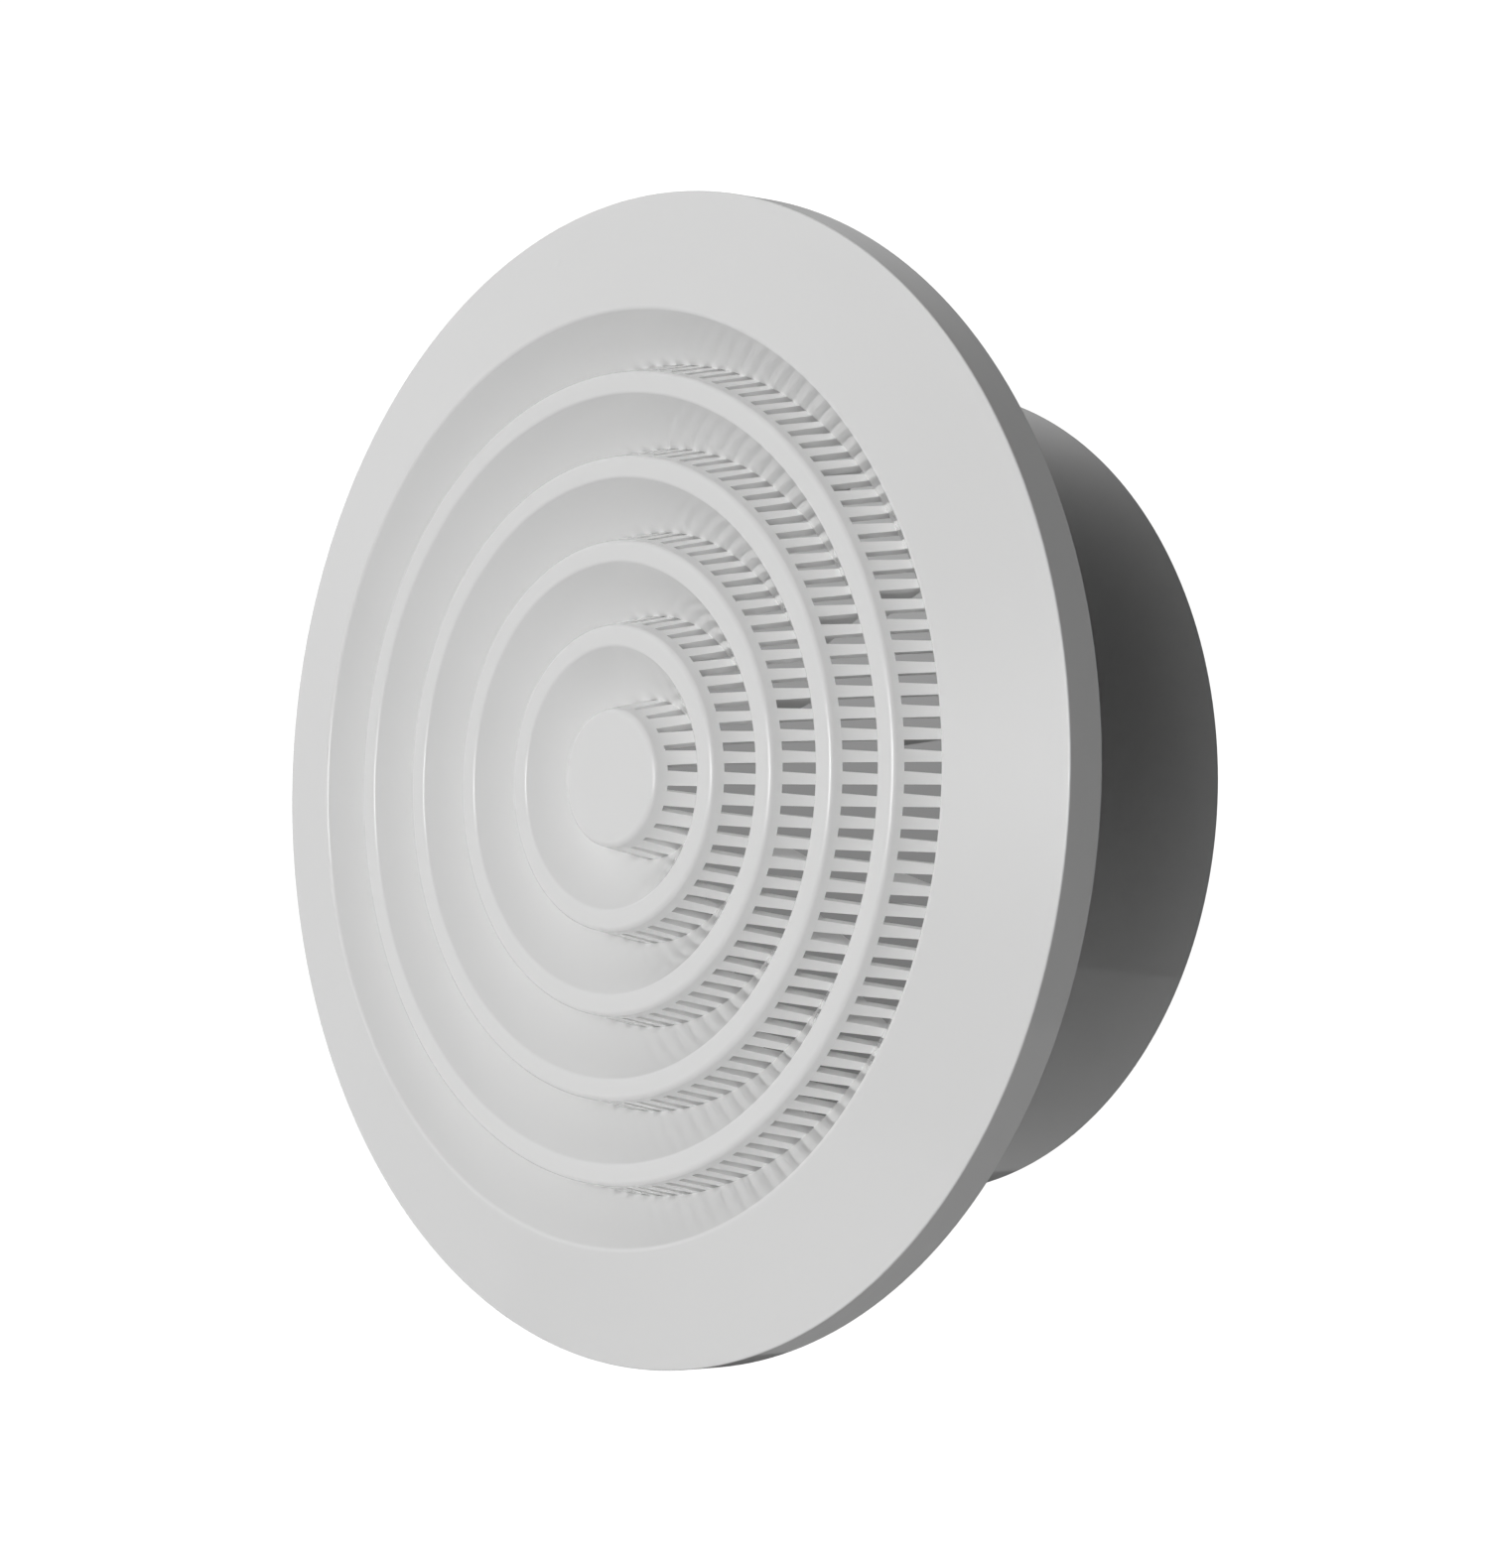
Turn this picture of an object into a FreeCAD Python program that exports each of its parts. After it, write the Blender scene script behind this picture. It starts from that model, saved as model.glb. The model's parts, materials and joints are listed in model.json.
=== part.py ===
import FreeCAD, Part
import math
import os

# Round vent cover for a 150 mm duct, one plastic moulding.
# The Y axis is the duct axis: the face looks along -Y and the collar runs back along +Y.
# The wall plane, where the rim meets the wall or ceiling, is y = 0. All sizes are in millimetres.

# Flange and rim
flange_diameter = 207.0
face_depth = 15.0             # wall plane to the front plane that every lip lies in
rim_height = 7.4              # straight outer band, wall plane to the edge of the sloping flange
flange_wall = 2.0

# Collar that goes into the duct
collar_diameter = 149.0
collar_wall = 2.4
collar_length = 60.7          # beyond the wall plane

# Ringed grille: a centre disc, then rings that each have a flat lip, a cone and a ledge at its foot
disc_diameter = 24.1
ring_count = 4
lip_width = 3.65
lip_depth = 2.2               # thickness of the disc and of each lip
ledge_depth = 10.1            # front plane to the ledges that the bars stand on
ledge_strip = 0.7             # ledge seen in front of the bars
ledge_width = 2.65            # from a cone's foot in to the edge behind the bars
cone_wall = 1.5
foot_depth = 2.9              # ledge to the lowest edge of a ring

# Bars from each lip down to the ledge of the next ring, with slots between them
bar_pitch = 3.68
bar_thickness = 1.5
bar_lean = 2.06               # how far a bar leans out from its lip to its ledge
bar_inset = 0.15              # bar behind the edge of its lip
bar_root = 0.3                # bar sunk into the lip and the ledge
slot_front_width = 1.45
slot_back_width = 2.0
centre_slot_front_width = 0.95
centre_slot_back_width = 1.7

# Derived sizes
flange_radius = flange_diameter / 2
collar_radius = collar_diameter / 2
collar_bore_radius = collar_radius - collar_wall
disc_radius = disc_diameter / 2
first_foot_radius = disc_radius + bar_lean + ledge_strip
last_foot_radius = collar_radius - collar_wall / 4
ring_pitch = (last_foot_radius - first_foot_radius) / ring_count
cone_run = ring_pitch - ledge_strip - bar_lean - lip_width
bar_slope = bar_lean / ledge_depth
cone_slope = cone_run / ledge_depth
cone_offset = cone_wall * math.hypot(1, cone_slope)
flange_edge_depth = face_depth - rim_height
flange_inner_radius = last_foot_radius + cone_run
flange_slope = flange_edge_depth / (flange_radius - flange_inner_radius)
flange_offset = flange_wall * math.hypot(1, flange_slope)

AXIS_POINT = FreeCAD.Vector(0, 0, 0)
AXIS = FreeCAD.Vector(0, 1, 0)


def at(radius, depth):
    """A point of the section, by its radius and its depth behind the front plane."""
    return FreeCAD.Vector(radius, depth - face_depth, 0)


def foot_radius(gap):
    """Radius of a cone's foot on its ledge, counted outward from the gap round the disc."""
    return first_foot_radius + gap * ring_pitch


def lip_edge(gap, depth):
    """Radius of the leaning outer edge of the disc or lip that stands inside a gap."""
    return foot_radius(gap) - ledge_strip - bar_lean + bar_slope * depth


def cone_back(gap, depth):
    """Radius of the hidden face of the cone that rises outward from a ledge."""
    return foot_radius(gap) + cone_offset + cone_slope * (ledge_depth - depth)


def turned_solid(points):
    """The solid that a closed outline sweeps round the duct axis."""
    face = Part.Face(Part.makePolygon(points + points[:1]))
    return face.revolve(AXIS_POINT, AXIS, 360)


def disc():
    """The flat disc in the middle of the grille."""
    return turned_solid([
        at(0, 0),
        at(lip_edge(0, 0), 0),
        at(lip_edge(0, lip_depth), lip_depth),
        at(0, lip_depth),
    ])


def ring(gap):
    """A ring of the grille, between a gap on its outer side and the gap before it."""
    inner = gap - 1
    foot_end = ledge_depth + foot_depth
    return turned_solid([
        at(foot_radius(inner) + cone_run, 0),
        at(lip_edge(gap, 0), 0),
        at(lip_edge(gap, lip_depth), lip_depth),
        at(cone_back(inner, lip_depth), lip_depth),
        at(cone_back(inner, foot_end), foot_end),
        at(foot_radius(inner) - ledge_width, ledge_depth),
        at(foot_radius(inner), ledge_depth),
    ])


def flange_back_meets_cone():
    """Where the hidden faces of the flange and of the outermost cone cross."""
    cone_at_front = cone_back(ring_count, 0)
    depth_at_cone = flange_offset + flange_slope * (cone_at_front - flange_inner_radius)
    depth = depth_at_cone / (1 + flange_slope * cone_slope)
    return at(cone_back(ring_count, depth), depth)


def flange_and_collar():
    """The flange with its rim, the outermost cone and ledge, and the collar, bored from the wall plane."""
    collar_end_depth = face_depth + collar_length
    rim_inner_radius = flange_radius - flange_wall
    rim_root_depth = flange_offset + flange_slope * (rim_inner_radius - flange_inner_radius)
    collar_root_depth = (cone_back(ring_count, 0) - collar_radius) / cone_slope
    return turned_solid([
        at(flange_inner_radius, 0),
        at(flange_radius, flange_edge_depth),
        at(flange_radius, face_depth),
        at(rim_inner_radius, face_depth),
        at(rim_inner_radius, rim_root_depth),
        flange_back_meets_cone(),
        at(collar_radius, collar_root_depth),
        at(collar_radius, collar_end_depth),
        at(collar_bore_radius, collar_end_depth),
        at(collar_bore_radius, face_depth),
        at(last_foot_radius - ledge_width, ledge_depth),
        at(last_foot_radius, ledge_depth),
    ])


def bar_count(gap):
    """Number of bars, and of slots, round one gap."""
    middle_radius = lip_edge(gap, ledge_depth / 2)
    return round(2 * math.pi * middle_radius / bar_pitch)


def bar_end(gap, depth, slot_width):
    """The front left and front right corners of a bar at a depth."""
    radius = lip_edge(gap, depth) - bar_inset
    bar_width = 2 * math.pi * radius / bar_count(gap) - slot_width
    half_width = FreeCAD.Vector(0, 0, bar_width / 2)
    return at(radius, depth) - half_width, at(radius, depth) + half_width


def bar(gap):
    """One leaning bar, wider at the lip than at the ledge."""
    front_width = centre_slot_front_width if gap == 0 else slot_front_width
    back_width = centre_slot_back_width if gap == 0 else slot_back_width
    lip_left, lip_right = bar_end(gap, lip_depth - bar_root, front_width)
    ledge_left, ledge_right = bar_end(gap, ledge_depth + bar_root, back_width)
    outline = Part.makePolygon([lip_left, lip_right, ledge_right, ledge_left, lip_left])
    return Part.Face(outline).extrude(FreeCAD.Vector(-bar_thickness, 0, 0))


def bars(gap):
    """All the bars round one gap."""
    copies = []
    for index in range(bar_count(gap)):
        copy = bar(gap)
        copy.rotate(AXIS_POINT, AXIS, 360 * index / bar_count(gap))
        copies.append(copy)
    return copies


def vent_cover():
    """The whole moulding: disc, rings and flange joined by the bars round every gap."""
    body = flange_and_collar()
    for gap in range(ring_count, 0, -1):
        body = body.fuse([ring(gap)] + bars(gap))
    return body.fuse([disc()] + bars(0))


os.makedirs("parts", exist_ok=True)
vent_cover().Solids[0].exportStep("parts/vent_cover.step")
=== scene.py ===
import json
import math

import bpy
from mathutils import Matrix, Vector


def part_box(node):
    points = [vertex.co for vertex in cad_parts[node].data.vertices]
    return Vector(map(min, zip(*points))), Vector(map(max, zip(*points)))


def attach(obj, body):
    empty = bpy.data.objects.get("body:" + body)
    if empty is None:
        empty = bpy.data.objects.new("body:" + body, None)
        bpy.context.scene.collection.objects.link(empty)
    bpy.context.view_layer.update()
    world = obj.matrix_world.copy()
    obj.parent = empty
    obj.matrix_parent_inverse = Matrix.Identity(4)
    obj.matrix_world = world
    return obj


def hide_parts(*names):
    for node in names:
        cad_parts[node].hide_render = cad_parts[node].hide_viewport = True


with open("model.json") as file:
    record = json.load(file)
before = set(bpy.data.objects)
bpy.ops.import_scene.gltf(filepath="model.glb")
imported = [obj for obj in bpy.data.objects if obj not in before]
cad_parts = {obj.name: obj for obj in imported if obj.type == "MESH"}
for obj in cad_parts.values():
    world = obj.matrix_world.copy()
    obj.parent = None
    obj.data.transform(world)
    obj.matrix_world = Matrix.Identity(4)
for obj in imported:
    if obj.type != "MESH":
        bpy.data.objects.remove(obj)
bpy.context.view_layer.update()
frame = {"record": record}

# Sizes of the vent cover that the frame states, in millimetres
MM = 0.001
low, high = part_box("vent_cover")
mount_sizes = {mount["name"]: mount["dims"] for mount in frame["record"]["mounts"]}
flange_radius = min(high[0], high[2]) / MM
face_depth = -low[1] / MM     # wall plane to the front plane
collar_length = high[1] / MM
collar_radius = mount_sizes["collar"]["r_mm"]
bore_radius = mount_sizes["duct_bore"]["r_mm"]

# Flange, rim and ringed grille, with depths counted from the front plane
rim_height = 7.4
flange_wall = 2.0
disc_radius = 12.05
ring_count = 4
lip_width = 3.65
lip_depth = 2.2               # thickness of the outermost lip
inner_lip_extra = 0.5         # how much thicker the disc in the middle is
groove_depth = 10.1           # where the foot of each cone meets the bars
cone_wall = 1.5
foot_depth = 2.9              # foot of a cone to the lowest edge of its ring
outer_foot_inset = 1.3        # outermost cone's foot inside the collar's outer face

# Bars and the slots between them
bar_pitch = 3.68
bar_thickness = 1.5
bar_lean = 2.06               # how far a bar leans out from its lip to its groove
bar_inset = 0.02              # bar behind the edge of its lip
bar_root = 0.3                # bar sunk into its lip
bar_end_depth = 12.6
slot_front_width = 1.45
slot_back_width = 2.0
centre_slot_front_width = 0.95
centre_slot_back_width = 1.7

# Webs behind the bars of each ring, from the innermost ring out
web_counts = (3, 9, 12, 18)
first_web_bars = (8, 4, 8, 2)
web_thickness = 1.2
web_end_depth = 12.0

# Shallow dimples in the flange, each by its angle up from +X in degrees and its radius
dimple_places = ((16.7, 95.3), (104.2, 96.0), (-61.0, 94.0))
dimple_radius = 1.3
dimple_depth = 0.05
dimple_steps = 24             # steps each way of the fine patch round a dimple
patch_radii = (92.0, 98.0)    # band of the flange that holds the fine patches

# Rounded edges of the moulding
rim_rounding = 0.4
cone_edge_rounding = 0.8
lip_rounding = 1.0
inner_rounding = 0.4
back_edge_rounding = 0.1      # back edge of the rim and end of the collar
bar_rounding = 0.08
crisp_rounding = 0.08

# Fineness of the mesh
arc_step = math.radians(18)
turn_steps = 240

# White plastic: two close tints, the range of its roughness, and its cloudiness and grain
plastic_tints = ((0.93, 0.93, 0.927, 1), (0.95, 0.95, 0.947, 1))
least_roughness = 0.04
most_roughness = 0.07
cloud_scale = 18
cloud_detail = 3
grain_scale = 1400
grain_strength = 0.06
grain_height = 0.0001

# Camera, in degrees and metres
view_azimuth = 47.75          # from the front toward +X
view_elevation = -1.22
view_roll = 1.38
view_distance = 0.7292
view_target = Vector((0.0349, -face_depth * MM, -0.0011))
lens_mm = 99.08
sensor_mm = 36

# Studio light: soft round patches, each by azimuth, elevation, tightness and strength
glows = (
    (10, 3, 45, 3.95),
    (19, 3, 45, 9.6),
    (-80, 0, 6, 0.7),
    (-45, 50, 6, 0.6),
    (-130, 40, 6, 0.7),
    (-170, 0, 40, 1.2),
)
fill_light = 0.01
backdrop_strength = 1.1

# Floor, in metres
floor_radius = 0.5
floor_height = -0.3
floor_grey = 0.8
floor_roughness = 0.7
floor_paleness = 0.4          # light that the floor seems to give off to the eye

# Painted shade: a glowing grey card inside the end of the collar, in place of the dim space seen
# through the slots
card_inset = 0.5
# painted shade, darker toward the bottom of the card and paler toward its top
painted_shade_greys = (0.11, 0.24, 0.45)   # at its lower edge, its middle and its upper edge
stage_corners = 96            # corners of the floor's and the card's outline

# Derived sizes
first_foot_radius = disc_radius + bar_lean
last_foot_radius = collar_radius - outer_foot_inset
ring_pitch = (last_foot_radius - first_foot_radius) / ring_count
cone_run = ring_pitch - bar_lean - lip_width
bar_slope = bar_lean / groove_depth
cone_slope = cone_run / groove_depth
cone_offset = cone_wall * math.hypot(1, cone_slope)
flange_edge_depth = face_depth - rim_height
flange_inner_radius = last_foot_radius + cone_run
flange_slope = flange_edge_depth / (flange_radius - flange_inner_radius)
flange_offset = flange_wall * math.hypot(1, flange_slope)


def foot_radius(gap):
    """Radius of a cone's foot, counted outward from the gap round the disc."""
    return first_foot_radius + gap * ring_pitch


def lip_edge(gap, depth):
    """Radius of the leaning outer edge of the disc or lip that stands inside a gap."""
    return foot_radius(gap) - bar_lean + bar_slope * depth


def cone_back(gap, depth):
    """Radius of the hidden face of the cone that rises outward from a gap."""
    return foot_radius(gap) + cone_offset + cone_slope * (groove_depth - depth)


def header_depth(gap):
    """Thickness of the disc or lip inside a gap, which is where its slots begin."""
    return lip_depth + inner_lip_extra * (1 - gap / ring_count)


def flange_depth(radius):
    """Depth of the flange's sloping front face at a radius."""
    return flange_slope * (radius - flange_inner_radius)


def bar_count(gap):
    """Number of bars round one gap."""
    return round(2 * math.pi * lip_edge(gap, groove_depth / 2) / bar_pitch)


def bar_angle(gap, index):
    """Angle up from +X of one of the bars round a gap."""
    return 2 * math.pi * index / bar_count(gap)


class Skin:
    """Collects points, their normals and the faces between them for one mesh."""

    def __init__(self):
        self.points = []
        self.normals = []
        self.faces = []

    def add_point(self, point, normal):
        """Adds one point, in millimetres, and gives its number."""
        self.points.append(Vector(point) * MM)
        self.normals.append(Vector(normal).normalized())
        return len(self.points) - 1

    def add_face(self, corners):
        """Adds one face, turned to look the way its points' normals do."""
        first, second, third = (self.points[corner] for corner in corners[:3])
        outward = sum((self.normals[corner] for corner in corners), Vector())
        if (second - first).cross(third - second).dot(outward) < 0:
            corners = corners[::-1]
        self.faces.append(corners)

    def add_bands(self, rows, closed, openings=()):
        """Joins rings of points by bands of quads, and leaves out those at (row, step) openings."""
        pairs = list(zip(rows, rows[1:]))
        if closed:
            pairs.append((rows[-1], rows[0]))
        for row, (one, other) in enumerate(pairs):
            for index in range(len(one)):
                after = (index + 1) % len(one)
                if (row, index) not in openings:
                    self.add_face([one[index], one[after], other[after], other[index]])

    def add_grid(self, rows):
        """Joins open rows of points by quads."""
        for one, other in zip(rows, rows[1:]):
            for index in range(len(one) - 1):
                self.add_face([one[index], one[index + 1], other[index + 1], other[index]])

    def add_cap(self, row, point, normal):
        """Closes a ring of points by triangles to a middle point."""
        middle = self.add_point(point, normal)
        for index in range(len(row)):
            self.add_face([row[index], row[(index + 1) % len(row)], middle])

    def to_object(self, name):
        """Makes the mesh object, with its own smooth normals."""
        mesh = bpy.data.meshes.new(name)
        mesh.from_pydata(self.points, [], self.faces)
        mesh.polygons.foreach_set("use_smooth", [True] * len(mesh.polygons))
        mesh.normals_split_custom_set_from_vertices(self.normals)
        obj = bpy.data.objects.new(name, mesh)
        bpy.context.scene.collection.objects.link(obj)
        return obj


def rounded(corners):
    """Rounds an outline of (x, y, rounding) corners, and gives its points as (place, normal)."""
    places = [Vector(corner[:2]) for corner in corners]
    count = len(places)
    area = sum(places[index - 1].cross(places[index]) for index in range(count))
    side = 1 if area > 0 else -1
    points = []
    for index, place in enumerate(places):
        before = (places[index - 1] - place).normalized()
        after = (places[(index + 1) % count] - place).normalized()
        rounding = corners[index][2]
        if rounding == 0:
            points.append((place, Vector((0, 0))))
            continue
        bend = before.angle(after)
        convex = 1 if side * (-before).cross(after) > 0 else -1
        centre = place + (before + after).normalized() * rounding / math.sin(bend / 2)
        start = place + before * rounding / math.tan(bend / 2) - centre
        turn = convex * side * (math.pi - bend)
        steps = max(1, math.ceil(abs(turn) / arc_step))
        for step in range(steps + 1):
            arm = Matrix.Rotation(turn * step / steps, 2) @ start
            points.append((centre + arm, arm * convex))
    return points


def spot(radius, depth, angle):
    """A place on the cover, by its radius, depth behind the front plane, and angle up from +X."""
    return Vector((radius * math.cos(angle), depth - face_depth, radius * math.sin(angle)))


def turn_to(angle):
    """The turn round the duct axis from +X up to an angle."""
    return Matrix.Rotation(-angle, 3, "Y")


def turned_rings(skin, outline):
    """Adds the rings of points that an outline sweeps round the duct axis."""
    rings = []
    for place, normal in outline:
        ring = []
        for step in range(turn_steps):
            angle = 2 * math.pi * step / turn_steps
            outward = spot(normal.x, normal.y + face_depth, angle)
            ring.append(skin.add_point(spot(place.x, place.y, angle), outward))
        rings.append(ring)
    return rings


def add_disc(skin):
    """The flat disc in the middle of the grille."""
    header = header_depth(0)
    outline = rounded([
        (0, 0, 0),
        (lip_edge(0, 0), 0, lip_rounding),
        (lip_edge(0, header), header, crisp_rounding),
        (0, header, 0),
    ])
    rings = turned_rings(skin, outline[1:-1])
    skin.add_bands(rings, closed=False)
    skin.add_cap(rings[0], spot(0, 0, 0), (0, -1, 0))
    skin.add_cap(rings[-1], spot(0, header, 0), (0, 1, 0))


def add_ring(skin, gap):
    """A ring of the grille, between a gap on its outer side and the gap before it."""
    inner = gap - 1
    header = header_depth(gap)
    foot_end = groove_depth + foot_depth
    outline = rounded([
        (foot_radius(inner) + cone_run, 0, cone_edge_rounding),
        (lip_edge(gap, 0), 0, lip_rounding),
        (lip_edge(gap, header), header, crisp_rounding),
        (cone_back(inner, header), header, inner_rounding),
        (cone_back(inner, foot_end), foot_end, inner_rounding),
        (foot_radius(inner), groove_depth, crisp_rounding),
    ])
    skin.add_bands(turned_rings(skin, outline), closed=True)


def flange_and_collar_outline():
    """The rounded section of the flange with its rim, the outermost cone, and the collar."""
    collar_end_depth = face_depth + collar_length
    rim_inner_radius = flange_radius - flange_wall
    rim_root_depth = flange_offset + flange_depth(rim_inner_radius)
    cone_at_front = cone_back(ring_count, 0)
    collar_root_depth = (cone_at_front - collar_radius) / cone_slope
    depth_at_cone = flange_offset + flange_depth(cone_at_front)
    crossing_depth = depth_at_cone / (1 + flange_slope * cone_slope)
    return rounded([
        (flange_inner_radius, 0, cone_edge_rounding),
        (flange_radius, flange_edge_depth, rim_rounding),
        (flange_radius, face_depth, back_edge_rounding),
        (rim_inner_radius, face_depth, inner_rounding),
        (rim_inner_radius, rim_root_depth, inner_rounding),
        (cone_back(ring_count, crossing_depth), crossing_depth, inner_rounding),
        (collar_radius, collar_root_depth, inner_rounding),
        (collar_radius, collar_end_depth, back_edge_rounding),
        (bore_radius, collar_end_depth, inner_rounding),
        (bore_radius, face_depth, inner_rounding),
        (last_foot_radius, groove_depth, crisp_rounding),
    ])


def add_dimple_point(skin, sides, centre, across, along):
    """Adds a point of a dimple's patch, by its shares of the way across and along the patch."""
    near, far = (
        skin.points[first].lerp(skin.points[second], across) / MM for first, second in sides
    )
    first, second = sides[0]
    normal = skin.normals[first].lerp(skin.normals[second], across)
    place = near.lerp(far, along)
    away = place - centre
    dip = max(0, 1 - (away.length / dimple_radius) ** 2)
    slope = 4 * dimple_depth * dip / dimple_radius ** 2
    return skin.add_point(place - normal * dimple_depth * dip ** 2, normal - away * slope)


def add_dimple(skin, rings, step, centre):
    """A shallow round dimple, in place of the two faces between two rings that meet at a step."""
    half_steps = dimple_steps // 2
    for cell in (step - 1, step):
        sides = [(ring[cell % turn_steps], ring[(cell + 1) % turn_steps]) for ring in rings]
        rows = []
        for along in range(dimple_steps + 1):
            row = []
            for across in range(half_steps + 1):
                shares = (across / half_steps, along / dimple_steps)
                row.append(add_dimple_point(skin, sides, centre, *shares))
            rows.append(row)
        skin.add_grid(rows)


def add_flange_and_collar(skin):
    """The flange with its rim and its dimples, the outermost cone, and the collar."""
    outline = flange_and_collar_outline()
    radii = [place.x for place, normal in outline]
    row = next(index for index, radius in enumerate(radii) if radius > patch_radii[1])
    face_normal = outline[row][1]
    for radius in reversed(patch_radii):
        outline.insert(row, (Vector((radius, flange_depth(radius))), face_normal))
    rings = turned_rings(skin, outline)
    openings = set()
    dimples = []
    for angle, radius in dimple_places:
        step = round(angle / 360 * turn_steps)
        openings.update((row, cell % turn_steps) for cell in (step - 1, step))
        dimples.append((step, spot(radius, flange_depth(radius), math.radians(angle))))
    skin.add_bands(rings, closed=True, openings=openings)
    for step, centre in dimples:
        add_dimple(skin, rings[row:row + 2], step, centre)


def slot_widths(gap):
    """Widths of the slots round a gap, at the lip and at the groove."""
    if gap == 0:
        return centre_slot_front_width, centre_slot_back_width
    return slot_front_width, slot_back_width


def bar_section(gap, depth, slot_width):
    """The rounded section of a bar at a depth, as (radius, sideways) points with normals."""
    front = lip_edge(gap, depth) - bar_inset
    half_width = math.pi * front / bar_count(gap) - slot_width / 2
    back = front - bar_thickness
    return rounded([
        (front, -half_width, bar_rounding),
        (front, half_width, bar_rounding),
        (back, half_width, bar_rounding),
        (back, -half_width, bar_rounding),
    ])


def add_bar(skin, gap, angle):
    """One leaning bar, from inside its lip down past the foot of the cone it stands against."""
    front_width, back_width = slot_widths(gap)
    header = header_depth(gap)
    widening = (back_width - front_width) / (groove_depth - header)
    turn = turn_to(angle)
    rows = []
    for depth in (header - bar_root, bar_end_depth):
        slot_width = front_width + widening * (depth - header)
        row = []
        for place, normal in bar_section(gap, depth, slot_width):
            point = Vector((place.x, depth - face_depth, place.y))
            outward = Vector((normal.x, -bar_slope * normal.x, normal.y))
            row.append(skin.add_point(turn @ point, turn @ outward))
        rows.append(row)
    skin.add_bands(rows, closed=False)
    end = [skin.add_point(skin.points[corner] / MM, (0, 1, 0)) for corner in rows[-1]]
    skin.add_face(end)


def add_bars(skin, gap):
    """All the bars round one gap."""
    for index in range(bar_count(gap)):
        add_bar(skin, gap, bar_angle(gap, index))


def web_corners(gap):
    """Corners of a ring's web as (radius, depth), down along its bar and back up along its cone."""
    header = header_depth(gap)
    bar_side_inset = bar_inset + bar_thickness / 2
    cone_side_inset = cone_wall / 2
    return [
        (lip_edge(gap, header) - bar_side_inset, header - bar_root),
        (lip_edge(gap, web_end_depth) - bar_side_inset, web_end_depth),
        (cone_back(gap - 1, web_end_depth) - cone_side_inset, web_end_depth),
        (cone_back(gap - 1, header) - cone_side_inset, header - bar_root),
    ]


def add_web(skin, gap, angle):
    """A thin web across the hollow of a ring, behind one of its bars."""
    turn = turn_to(angle)
    sides = []
    for side in (-1, 1):
        offset = side * web_thickness / 2
        places = [
            turn @ Vector((radius, depth - face_depth, offset)) for radius, depth in web_corners(gap)
        ]
        outward = turn @ Vector((0, 0, side))
        skin.add_face([skin.add_point(place, outward) for place in places])
        sides.append(places)
    one, other = sides
    free_edge = (one[1], one[2], other[2], other[1])
    skin.add_face([skin.add_point(place, (0, 1, 0)) for place in free_edge])


def add_webs(skin, gap):
    """The webs of one ring, each behind the bar nearest to its even place."""
    webs = web_counts[gap - 1]
    for index in range(webs):
        bar = first_web_bars[gap - 1] + round(index * bar_count(gap) / webs)
        add_web(skin, gap, bar_angle(gap, bar))


def new_material(name):
    """A new material, with its nodes and links."""
    material = bpy.data.materials.new(name)
    material.use_nodes = True
    return material, material.node_tree.nodes, material.node_tree.links


def white_plastic():
    """White moulded plastic with a soft gloss, a faint unevenness and a very fine grain."""
    material, nodes, links = new_material("white_plastic")
    shader = nodes["Principled BSDF"]
    place = nodes.new("ShaderNodeTexCoord")

    cloud = nodes.new("ShaderNodeTexNoise")
    cloud.inputs["Scale"].default_value = cloud_scale
    cloud.inputs["Detail"].default_value = cloud_detail
    links.new(place.outputs["Object"], cloud.inputs["Vector"])

    tint = nodes.new("ShaderNodeValToRGB")
    for element, colour in zip(tint.color_ramp.elements, plastic_tints):
        element.color = colour
    links.new(cloud.outputs["Fac"], tint.inputs["Fac"])
    links.new(tint.outputs["Color"], shader.inputs["Base Color"])

    gloss = nodes.new("ShaderNodeMapRange")
    gloss.inputs["To Min"].default_value = least_roughness
    gloss.inputs["To Max"].default_value = most_roughness
    links.new(cloud.outputs["Fac"], gloss.inputs["Value"])
    links.new(gloss.outputs["Result"], shader.inputs["Roughness"])

    grain = nodes.new("ShaderNodeTexNoise")
    grain.inputs["Scale"].default_value = grain_scale
    links.new(place.outputs["Object"], grain.inputs["Vector"])
    bump = nodes.new("ShaderNodeBump")
    bump.inputs["Strength"].default_value = grain_strength
    bump.inputs["Distance"].default_value = grain_height
    links.new(grain.outputs["Fac"], bump.inputs["Height"])
    links.new(bump.outputs["Normal"], shader.inputs["Normal"])
    return material


def vent_cover():
    """The whole moulding as one mesh, in place of the plain solid."""
    skin = Skin()
    add_disc(skin)
    add_bars(skin, 0)
    for gap in range(1, ring_count + 1):
        add_ring(skin, gap)
        add_bars(skin, gap)
        add_webs(skin, gap)
    add_flange_and_collar(skin)
    cover = skin.to_object("vent_cover_moulding")
    cover.data.materials.append(white_plastic())
    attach(cover, "root")
    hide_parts("vent_cover")


def direction(azimuth, elevation):
    """The way toward an azimuth, from the front toward +X, and an elevation, both in degrees."""
    turn = math.radians(azimuth)
    rise = math.radians(elevation)
    across = math.cos(rise)
    return Vector((math.sin(turn) * across, -math.cos(turn) * across, math.sin(rise)))


def add_camera():
    """The camera at the photograph's angle."""
    back = direction(view_azimuth, view_elevation)
    right = Vector((0, 0, 1)).cross(back).normalized()
    up = back.cross(right)
    roll = math.radians(view_roll)
    rolled_right = right * math.cos(roll) + up * math.sin(roll)
    rolled_up = up * math.cos(roll) - right * math.sin(roll)
    data = bpy.data.cameras.new("camera")
    data.sensor_width = sensor_mm
    data.lens = lens_mm
    camera = bpy.data.objects.new("camera", data)
    turn = Matrix((rolled_right, rolled_up, back)).transposed().to_4x4()
    camera.matrix_world = Matrix.Translation(view_target + back * view_distance) @ turn
    bpy.context.scene.collection.objects.link(camera)
    bpy.context.scene.camera = camera


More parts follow.
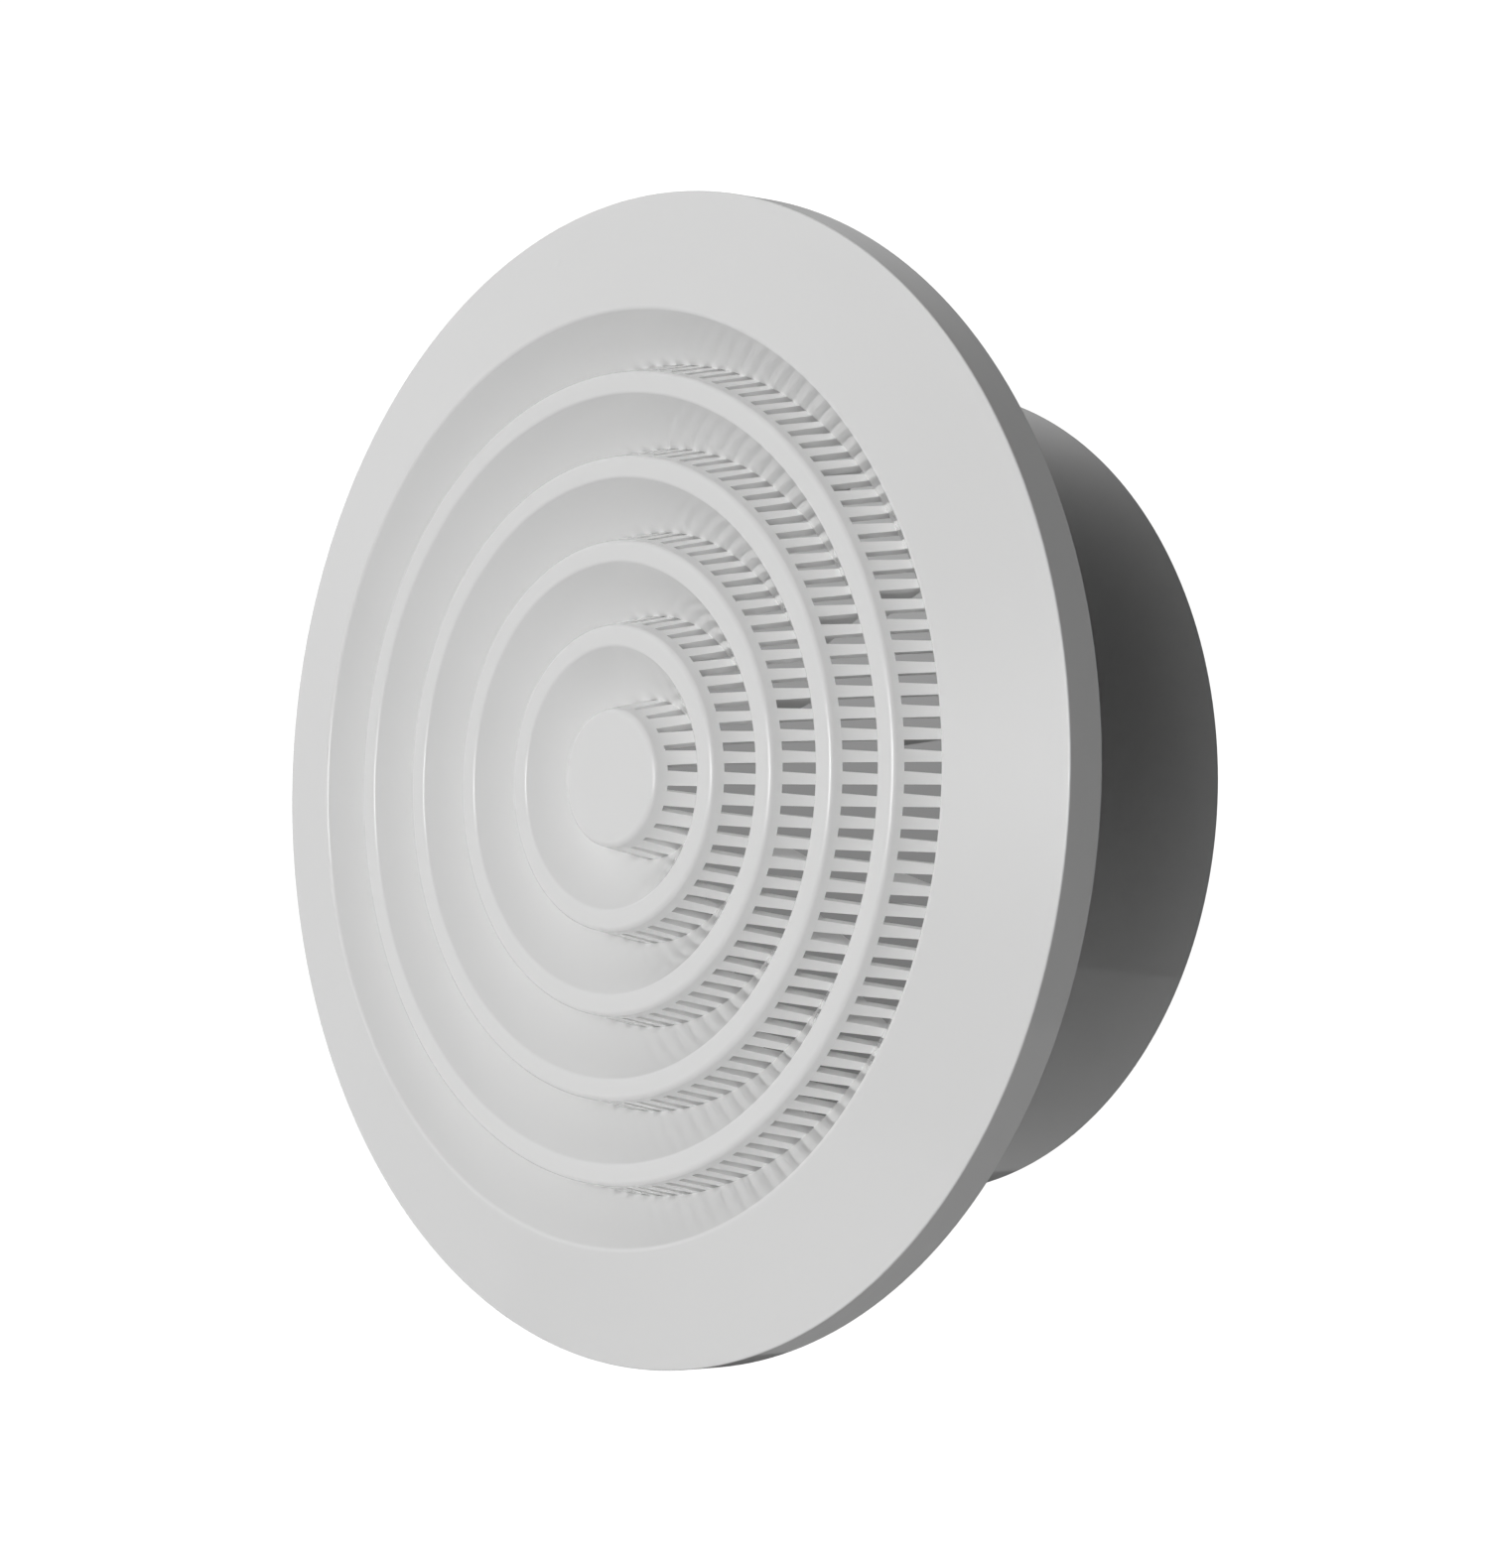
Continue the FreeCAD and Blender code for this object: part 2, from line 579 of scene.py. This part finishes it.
def grey(level):
    """A plain grey as a colour, from black at 0 to white at 1."""
    return (level, level, level, 1)


def calculate(nodes, links, operation, value, other):
    """The result of a Math node on a linked value and either another one or a plain number."""
    node = nodes.new("ShaderNodeMath")
    node.operation = operation
    links.new(value, node.inputs[0])
    if isinstance(other, bpy.types.NodeSocket):
        links.new(other, node.inputs[1])
    else:
        node.inputs[1].default_value = other
    return node.outputs["Value"]


def glow(nodes, links, place, azimuth, elevation, tightness, strength):
    """A soft round patch of light in the studio."""
    aim = nodes.new("ShaderNodeVectorMath")
    aim.operation = "DOT_PRODUCT"
    aim.inputs[1].default_value = direction(azimuth, elevation)
    links.new(place, aim.inputs[0])
    near_half = calculate(nodes, links, "MAXIMUM", aim.outputs["Value"], 0)
    falloff = calculate(nodes, links, "POWER", near_half, tightness)
    return calculate(nodes, links, "MULTIPLY", falloff, strength)


def add_world():
    """A white backdrop for the eye, and soft studio light from a few broad patches all round."""
    world = bpy.data.worlds.new("studio")
    world.use_nodes = True
    bpy.context.scene.world = world
    nodes = world.node_tree.nodes
    links = world.node_tree.links
    place = nodes.new("ShaderNodeTexCoord").outputs["Generated"]
    light = fill_light
    for values in glows:
        light = calculate(nodes, links, "ADD", glow(nodes, links, place, *values), light)
    studio = nodes["Background"]
    studio.inputs["Color"].default_value = grey(1)
    links.new(light, studio.inputs["Strength"])
    backdrop = nodes.new("ShaderNodeBackground")
    backdrop.inputs["Color"].default_value = grey(1)
    backdrop.inputs["Strength"].default_value = backdrop_strength
    rays = nodes.new("ShaderNodeLightPath")
    mix = nodes.new("ShaderNodeMixShader")
    links.new(rays.outputs["Is Camera Ray"], mix.inputs["Fac"])
    links.new(studio.outputs["Background"], mix.inputs[1])
    links.new(backdrop.outputs["Background"], mix.inputs[2])
    links.new(mix.outputs["Shader"], nodes["World Output"].inputs["Surface"])


def show_front_only(nodes, links, shader):
    """Gives a stage surface its shader on the front side, and leaves the back side clear."""
    clear = nodes.new("ShaderNodeBsdfTransparent")
    side = nodes.new("ShaderNodeNewGeometry")
    mix = nodes.new("ShaderNodeMixShader")
    links.new(side.outputs["Backfacing"], mix.inputs["Fac"])
    links.new(shader, mix.inputs[1])
    links.new(clear.outputs["BSDF"], mix.inputs[2])
    links.new(mix.outputs["Shader"], nodes["Material Output"].inputs["Surface"])


def round_sheet(name, radius, location, rotation=(0, 0, 0)):
    """A flat round surface for the stage, facing up unless it is turned."""
    bpy.ops.mesh.primitive_circle_add(
        vertices=stage_corners,
        radius=radius,
        fill_type="NGON",
        location=location,
        rotation=rotation,
    )
    sheet = bpy.context.object
    sheet.name = name
    return sheet


def pale_floor():
    """A matt pale surface that looks a little paler to the eye than its light alone makes it."""
    material, nodes, links = new_material("pale_floor")
    shader = nodes["Principled BSDF"]
    shader.inputs["Base Color"].default_value = grey(floor_grey)
    shader.inputs["Roughness"].default_value = floor_roughness
    shader.inputs["Emission Color"].default_value = grey(1)
    rays = nodes.new("ShaderNodeLightPath")
    eye_ray = rays.outputs["Is Camera Ray"]
    paleness = calculate(nodes, links, "MULTIPLY", eye_ray, floor_paleness)
    links.new(paleness, shader.inputs["Emission Strength"])
    show_front_only(nodes, links, shader.outputs["BSDF"])
    return material


def add_floor():
    """A plain pale floor under the cover, seen from above only."""
    floor = round_sheet("floor", floor_radius, (0, 0, floor_height))
    floor.data.materials.append(pale_floor())


def painted_shade_card_material():
    """Painted shade: a glowing grey that pales upward, the same in any light."""
    material, nodes, links = new_material("painted_shade_card")
    nodes.remove(nodes["Principled BSDF"])
    shine = nodes.new("ShaderNodeEmission")
    place = nodes.new("ShaderNodeTexCoord")
    height = nodes.new("ShaderNodeSeparateXYZ")
    links.new(place.outputs["Generated"], height.inputs["Vector"])
    shades = nodes.new("ShaderNodeValToRGB")
    # painted shade: the grey pales from the card's lower edge to its upper edge
    shades.color_ramp.elements.new(0.5)
    for element, level in zip(shades.color_ramp.elements, painted_shade_greys):
        element.color = grey(level)
    links.new(height.outputs["Y"], shades.inputs["Fac"])
    links.new(shades.outputs["Color"], shine.inputs["Color"])
    show_front_only(nodes, links, shine.outputs["Emission"])
    return material


def add_painted_shade_card():
    """A glowing grey card of painted shade just inside the collar's end, seen from the front only,
    through the slots.
    """
    middle = (0, (collar_length - card_inset) * MM, 0)
    upright = (math.pi / 2, 0, 0)
    card = round_sheet("painted_shade_card", (bore_radius - card_inset) * MM, middle, upright)
    card.visible_diffuse = False
    card.visible_glossy = False
    card.visible_shadow = False
    card.data.materials.append(painted_shade_card_material())


vent_cover()
add_camera()
add_world()
add_floor()
add_painted_shade_card()
bpy.context.scene.view_settings.view_transform = "Standard"
